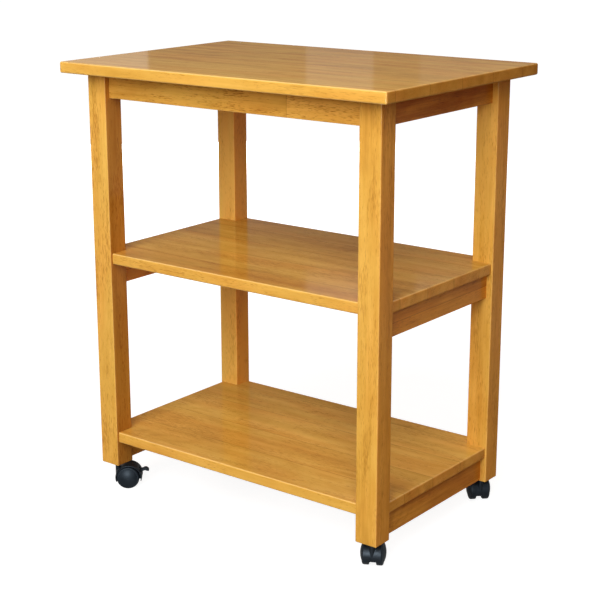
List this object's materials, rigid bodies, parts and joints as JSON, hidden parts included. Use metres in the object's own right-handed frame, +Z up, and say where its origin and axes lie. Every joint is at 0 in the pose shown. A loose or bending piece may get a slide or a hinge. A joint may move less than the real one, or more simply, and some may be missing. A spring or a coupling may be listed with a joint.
{
  "type": "microwave cart",
  "caption": "Wooden microwave cart with a flat top and open shelves on square legs, standing on swivelling twin-wheel casters, the front ones with foot brakes.",
  "frame": {"origin": "centre of the bounding box at the floor", "axes": "+X to the cart's right along its width, +Y from the front to the back, +Z up"},
  "size_m": [0.66, 0.44, 0.767],
  "materials": {
    "stained_wood": "golden oak stain under satin lacquer",
    "raw_wood": "raw beech",
    "zinc_steel": "bright zinc plate",
    "hood_plastic": "black moulded nylon with a soft sheen",
    "wheel_plastic": "black moulded nylon, satin"
  },
  "bodies": {
    "cart_frame": {"apron_dowels": "raw_wood", "back_apron": "stained_wood", "back_left_caster_socket": "hood_plastic", "back_left_caster_stem": "zinc_steel", "back_left_corner_brace": "zinc_steel", "back_left_leg": "stained_wood", "back_right_caster_socket": "hood_plastic", "back_right_caster_stem": "zinc_steel", "back_right_corner_brace": "zinc_steel", "back_right_leg": "stained_wood", "bottom_left_rail": "stained_wood", "bottom_right_rail": "stained_wood", "bottom_shelf": "stained_wood", "front_apron": "stained_wood", "front_left_caster_socket": "hood_plastic", "front_left_caster_stem": "zinc_steel", "front_left_corner_brace": "zinc_steel", "front_left_leg": "stained_wood", "front_right_caster_socket": "hood_plastic", "front_right_caster_stem": "zinc_steel", "front_right_corner_brace": "zinc_steel", "front_right_leg": "stained_wood", "grip_rings": "zinc_steel", "hanger_bolts": "zinc_steel", "hanger_nuts": "zinc_steel", "left_apron": "stained_wood", "middle_left_rail": "stained_wood", "middle_right_rail": "stained_wood", "middle_shelf": "stained_wood", "rail_dowels": "raw_wood", "right_apron": "stained_wood", "shelf_screws": "zinc_steel", "top_panel": "stained_wood", "top_screws": "zinc_steel"},
    "front_left_caster": {"front_left_caster_hood": "hood_plastic", "front_left_caster_axle": "zinc_steel", "front_left_lever_pin": "zinc_steel"},
    "front_left_left_wheel_body": {"front_left_left_wheel": "wheel_plastic"},
    "front_left_right_wheel_body": {"front_left_right_wheel": "wheel_plastic"},
    "front_left_brake": {"front_left_brake_lever": "hood_plastic"},
    "front_right_caster": {"front_right_caster_hood": "hood_plastic", "front_right_caster_axle": "zinc_steel", "front_right_lever_pin": "zinc_steel"},
    "front_right_left_wheel_body": {"front_right_left_wheel": "wheel_plastic"},
    "front_right_right_wheel_body": {"front_right_right_wheel": "wheel_plastic"},
    "front_right_brake": {"front_right_brake_lever": "hood_plastic"},
    "back_left_caster": {"back_left_caster_hood": "hood_plastic", "back_left_caster_axle": "zinc_steel"},
    "back_left_left_wheel_body": {"back_left_left_wheel": "wheel_plastic"},
    "back_left_right_wheel_body": {"back_left_right_wheel": "wheel_plastic"},
    "back_right_caster": {"back_right_caster_hood": "hood_plastic", "back_right_caster_axle": "zinc_steel"},
    "back_right_left_wheel_body": {"back_right_left_wheel": "wheel_plastic"},
    "back_right_right_wheel_body": {"back_right_right_wheel": "wheel_plastic"}
  },
  "joints": [
    {"name": "front_left_swivel", "type": "hinge", "parent": "cart_frame", "child": "front_left_caster", "pos_m": [-0.279, -0.167, 0.044], "axis": [0, 0, 1], "continuous": true},
    {"name": "front_left_left_wheel_spin", "type": "hinge", "parent": "front_left_caster", "child": "front_left_left_wheel_body", "pos_m": [-0.26423, -0.15504, 0.0205], "axis": [-0.6293, 0.7771, 0], "continuous": true},
    {"name": "front_left_right_wheel_spin", "type": "hinge", "parent": "front_left_caster", "child": "front_left_right_wheel_body", "pos_m": [-0.26423, -0.15504, 0.0205], "axis": [-0.6293, 0.7771, 0], "continuous": true},
    {"name": "front_left_brake_press", "type": "hinge", "parent": "front_left_caster", "child": "front_left_brake", "pos_m": [-0.25219, -0.14529, 0.028], "axis": [-0.6293, 0.7771, 0], "range_deg": [0, 12]},
    {"name": "front_right_swivel", "type": "hinge", "parent": "cart_frame", "child": "front_right_caster", "pos_m": [0.279, -0.167, 0.044], "axis": [0, 0, 1], "continuous": true},
    {"name": "front_right_left_wheel_spin", "type": "hinge", "parent": "front_right_caster", "child": "front_right_left_wheel_body", "pos_m": [0.27008, -0.15022, 0.0205], "axis": [-0.8829, -0.4695, 0], "continuous": true},
    {"name": "front_right_right_wheel_spin", "type": "hinge", "parent": "front_right_caster", "child": "front_right_right_wheel_body", "pos_m": [0.27008, -0.15022, 0.0205], "axis": [-0.8829, -0.4695, 0], "continuous": true},
    {"name": "front_right_brake_press", "type": "hinge", "parent": "front_right_caster", "child": "front_right_brake", "pos_m": [0.2628, -0.13654, 0.028], "axis": [-0.8829, -0.4695, 0], "range_deg": [0, 12]},
    {"name": "back_left_swivel", "type": "hinge", "parent": "cart_frame", "child": "back_left_caster", "pos_m": [-0.279, 0.167, 0.044], "axis": [0, 0, 1], "continuous": true},
    {"name": "back_left_left_wheel_spin", "type": "hinge", "parent": "back_left_caster", "child": "back_left_left_wheel_body", "pos_m": [-0.2725, 0.18485, 0.0205], "axis": [-0.9397, 0.342, 0], "continuous": true},
    {"name": "back_left_right_wheel_spin", "type": "hinge", "parent": "back_left_caster", "child": "back_left_right_wheel_body", "pos_m": [-0.2725, 0.18485, 0.0205], "axis": [-0.9397, 0.342, 0], "continuous": true},
    {"name": "back_right_swivel", "type": "hinge", "parent": "cart_frame", "child": "back_right_caster", "pos_m": [0.279, 0.167, 0.044], "axis": [0, 0, 1], "continuous": true},
    {"name": "back_right_left_wheel_spin", "type": "hinge", "parent": "back_right_caster", "child": "back_right_left_wheel_body", "pos_m": [0.26604, 0.1809, 0.0205], "axis": [-0.7314, -0.682, 0], "continuous": true},
    {"name": "back_right_right_wheel_spin", "type": "hinge", "parent": "back_right_caster", "child": "back_right_right_wheel_body", "pos_m": [0.26604, 0.1809, 0.0205], "axis": [-0.7314, -0.682, 0], "continuous": true}
  ]
}
